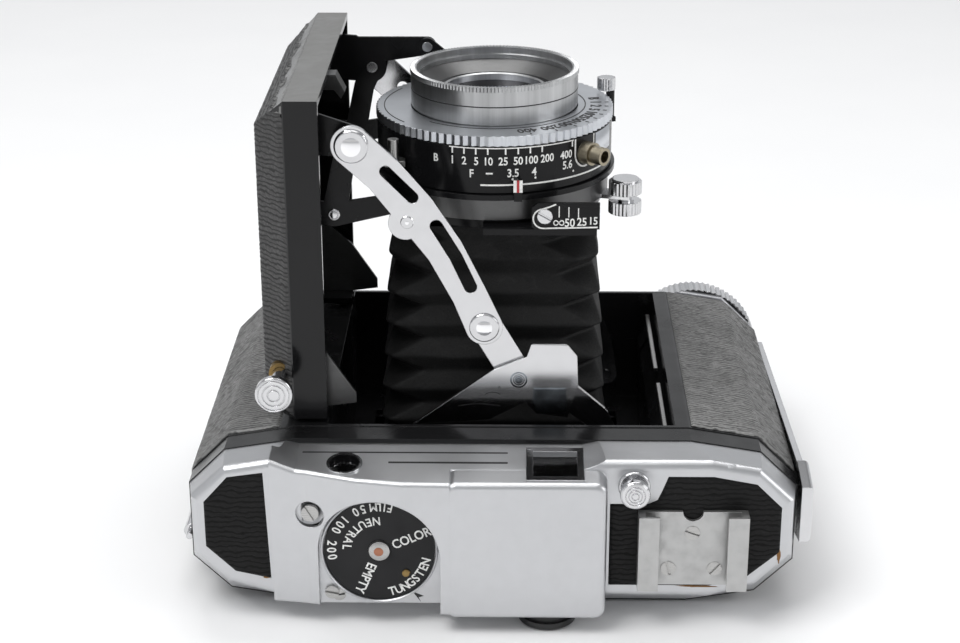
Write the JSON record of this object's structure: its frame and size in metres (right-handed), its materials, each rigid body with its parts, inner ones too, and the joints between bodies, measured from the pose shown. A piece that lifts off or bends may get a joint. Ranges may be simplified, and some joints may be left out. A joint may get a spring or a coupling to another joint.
{
  "type": "folding camera",
  "caption": "Folding roll-film camera, open: drop bed, chrome struts, bellows and leaf-shutter lens; the bed folds shut over the lens.",
  "frame": {"origin": "on the lens axis, at the plane of the back's resting face", "axes": "+Z is the lens axis, out of the front lens; +X is towards the viewer's right-hand end, with the winding knob; -Y is the top cover"},
  "size_m": [0.1271, 0.103, 0.1024],
  "materials": {
    "satin_chrome": "frosted satin chrome plate",
    "polished_chrome": "polished chrome plate",
    "steel": "nickel plated steel",
    "black_enamel": "gloss black enamel",
    "black_leather": "grained black leather",
    "bellows_leather": "thin matte black leather",
    "brass": "worn brass",
    "black_plastic": "black moulding",
    "clear_glass": "coated optical glass",
    "red_glass": "red inspection window",
    "mirror_glass": "front-silvered mirror",
    "blade_steel": "blackened spring steel"
  },
  "bodies": {
    "camera_body": {"body_casting": "black_enamel", "film_gate": "polished_chrome", "body_leather": "black_leather", "bottom_plate": "satin_chrome", "tripod_bush": "steel", "top_cover": "satin_chrome", "finder_frame": "polished_chrome", "finder_glass": "clear_glass", "rangefinder_ring": "polished_chrome", "rangefinder_mirrors": "mirror_glass", "eyepiece": "black_plastic", "top_cover_leather": "black_leather", "accessory_shoe": "polished_chrome", "shoe_spring": "steel", "cover_screws": "steel", "release_collar": "polished_chrome", "back_hinge_pin": "polished_chrome", "bed_hinge_pins": "polished_chrome", "leg_pivots": "polished_chrome", "bellows": "bellows_leather"},
    "release_button": {"release_button": "polished_chrome"},
    "memo_dial": {"memo_dial": "black_enamel"},
    "winder": {"wind_knob": "polished_chrome", "take_up_spool": "black_plastic"},
    "supply_spool": {"supply_spool": "black_plastic"},
    "roller_left": {"film_roller_left": "steel"},
    "roller_right": {"film_roller_right": "steel"},
    "back": {"back_door": "black_enamel", "back_leather": "black_leather", "pressure_plate": "black_enamel", "pressure_spring": "steel", "red_window": "red_glass"},
    "window_slide": {"red_window_cover": "black_plastic"},
    "latch": {"back_latch": "polished_chrome"},
    "bed": {"bed_shell": "black_enamel", "bed_leather": "black_leather", "bed_brackets": "black_enamel", "strut_studs": "polished_chrome", "bed_catch": "steel", "bed_button_grommet": "brass"},
    "bed_button": {"bed_release_button": "polished_chrome"},
    "arms": {"strut_arm_near": "polished_chrome", "strut_arm_far": "polished_chrome", "elbow_screws": "polished_chrome"},
    "legs": {"strut_leg_near": "polished_chrome", "strut_leg_far": "polished_chrome"},
    "levers": {"lock_lever_near": "polished_chrome", "lock_lever_far": "polished_chrome"},
    "carrier": {"carrier_link": "black_enamel"},
    "standard": {"lens_standard": "black_enamel", "focus_scale": "black_enamel"},
    "focus": {"focus_ring": "polished_chrome"},
    "shutter": {"shutter_case": "black_enamel", "lens_barrel": "polished_chrome", "lens_elements": "clear_glass", "shutter_blades": "blade_steel"},
    "speed": {"speed_ring": "polished_chrome"},
    "aperture": {"aperture_ring": "black_enamel"},
    "cocking": {"cocking_lever": "polished_chrome"},
    "trigger": {"shutter_lever": "steel"}
  },
  "joints": [
    {"name": "bed_hinge", "type": "hinge", "parent": "camera_body", "child": "bed", "pos_m": [-0.0345, 0, 0.032], "axis": [0, -1, 0], "range_deg": [-90, 0], "deforming": ["bellows"]},
    {"name": "arm_hinge", "type": "hinge", "parent": "bed", "child": "arms", "pos_m": [-0.0272, 0, 0.0922], "axis": [0, -1, 0], "range_deg": [-30, 0]},
    {"name": "leg_hinge", "type": "hinge", "parent": "camera_body", "child": "legs", "pos_m": [0.02566, 0, 0.01886], "axis": [0, -1, 0], "range_deg": [0, 49.7]},
    {"name": "lever_hinge", "type": "hinge", "parent": "legs", "child": "levers", "pos_m": [0.0052, 0, 0.043], "axis": [0, -1, 0], "range_deg": [-53.6, 0]},
    {"name": "carrier_hinge", "type": "hinge", "parent": "bed", "child": "carrier", "pos_m": [-0.015, 0, 0.097], "axis": [0, -1, 0], "range_deg": [-81, 0]},
    {"name": "standard_hinge", "type": "hinge", "parent": "carrier", "child": "standard", "pos_m": [0.01025, 0, 0.08218], "axis": [0, -1, 0], "range_deg": [0, 171]},
    {"name": "focus_turn", "type": "hinge", "parent": "standard", "child": "focus", "pos_m": [0, 0, 0.0767], "axis": [0, 0, 1], "range_deg": [0, 60.6]},
    {"name": "focus_slide", "type": "slide", "parent": "standard", "child": "shutter", "axis": [0, 0, 1], "range_m": [0, 0.0055]},
    {"name": "speed_turn", "type": "hinge", "parent": "shutter", "child": "speed", "pos_m": [0, 0, 0.091], "axis": [0, 0, 1], "range_deg": [0, 120]},
    {"name": "aperture_turn", "type": "hinge", "parent": "shutter", "child": "aperture", "pos_m": [0, 0, 0.0797], "axis": [0, 0, 1], "range_deg": [0, 40]},
    {"name": "cocking_turn", "type": "hinge", "parent": "shutter", "child": "cocking", "pos_m": [0, 0, 0.0865], "axis": [0, 0, 1], "range_deg": [0, 20], "stiffness_Nm_per_rad": 0.05},
    {"name": "trigger_turn", "type": "hinge", "parent": "shutter", "child": "trigger", "pos_m": [0, 0, 0.0848], "axis": [0, 0, 1], "range_deg": [0, 8], "stiffness_Nm_per_rad": 0.05},
    {"name": "button_press", "type": "slide", "parent": "camera_body", "child": "release_button", "axis": [0, 1, 0], "range_m": [0, 0.0021], "stiffness_N_per_m": 300},
    {"name": "dial_turn", "type": "hinge", "parent": "camera_body", "child": "memo_dial", "pos_m": [-0.022, -0.052, 0.0164], "axis": [0, 1, 0], "continuous": true},
    {"name": "wind_turn", "type": "hinge", "parent": "camera_body", "child": "winder", "pos_m": [0.0462, 0.04, 0.0205], "axis": [0, 1, 0], "continuous": true},
    {"name": "supply_turn", "type": "hinge", "parent": "camera_body", "child": "supply_spool", "pos_m": [-0.0462, 0, 0.0205], "axis": [0, 1, 0], "continuous": true},
    {"name": "roller_left_turn", "type": "hinge", "parent": "camera_body", "child": "roller_left", "pos_m": [-0.0356, 0, 0.007], "axis": [0, 1, 0], "continuous": true},
    {"name": "roller_right_turn", "type": "hinge", "parent": "camera_body", "child": "roller_right", "pos_m": [0.0356, 0, 0.007], "axis": [0, 1, 0], "continuous": true},
    {"name": "back_hinge", "type": "hinge", "parent": "camera_body", "child": "back", "pos_m": [-0.0622, 0, 0.0104], "axis": [0, 1, 0], "range_deg": [0, 100]},
    {"name": "window_slide", "type": "slide", "parent": "back", "child": "window_slide", "axis": [-1, 0, 0], "range_m": [0, 0.01]},
    {"name": "latch_slide", "type": "slide", "parent": "camera_body", "child": "latch", "axis": [0, -1, 0], "range_m": [0, 0.003], "stiffness_N_per_m": 250},
    {"name": "bed_button_press", "type": "slide", "parent": "bed", "child": "bed_button", "axis": [0, 1, 0], "range_m": [0, 0.002], "stiffness_N_per_m": 300}
  ],
  "couplings": [
    {"joint": "arm_hinge", "follows": "bed_hinge", "ratio": 0.33333},
    {"joint": "leg_hinge", "follows": "bed_hinge", "ratio": -0.5511},
    {"joint": "lever_hinge", "follows": "bed_hinge", "ratio": 0.595},
    {"joint": "carrier_hinge", "follows": "bed_hinge", "ratio": 0.9},
    {"joint": "standard_hinge", "follows": "bed_hinge", "ratio": -1.9},
    {"joint": "focus_turn", "follows": "focus_slide", "rad_per_m": 192.3}
  ]
}
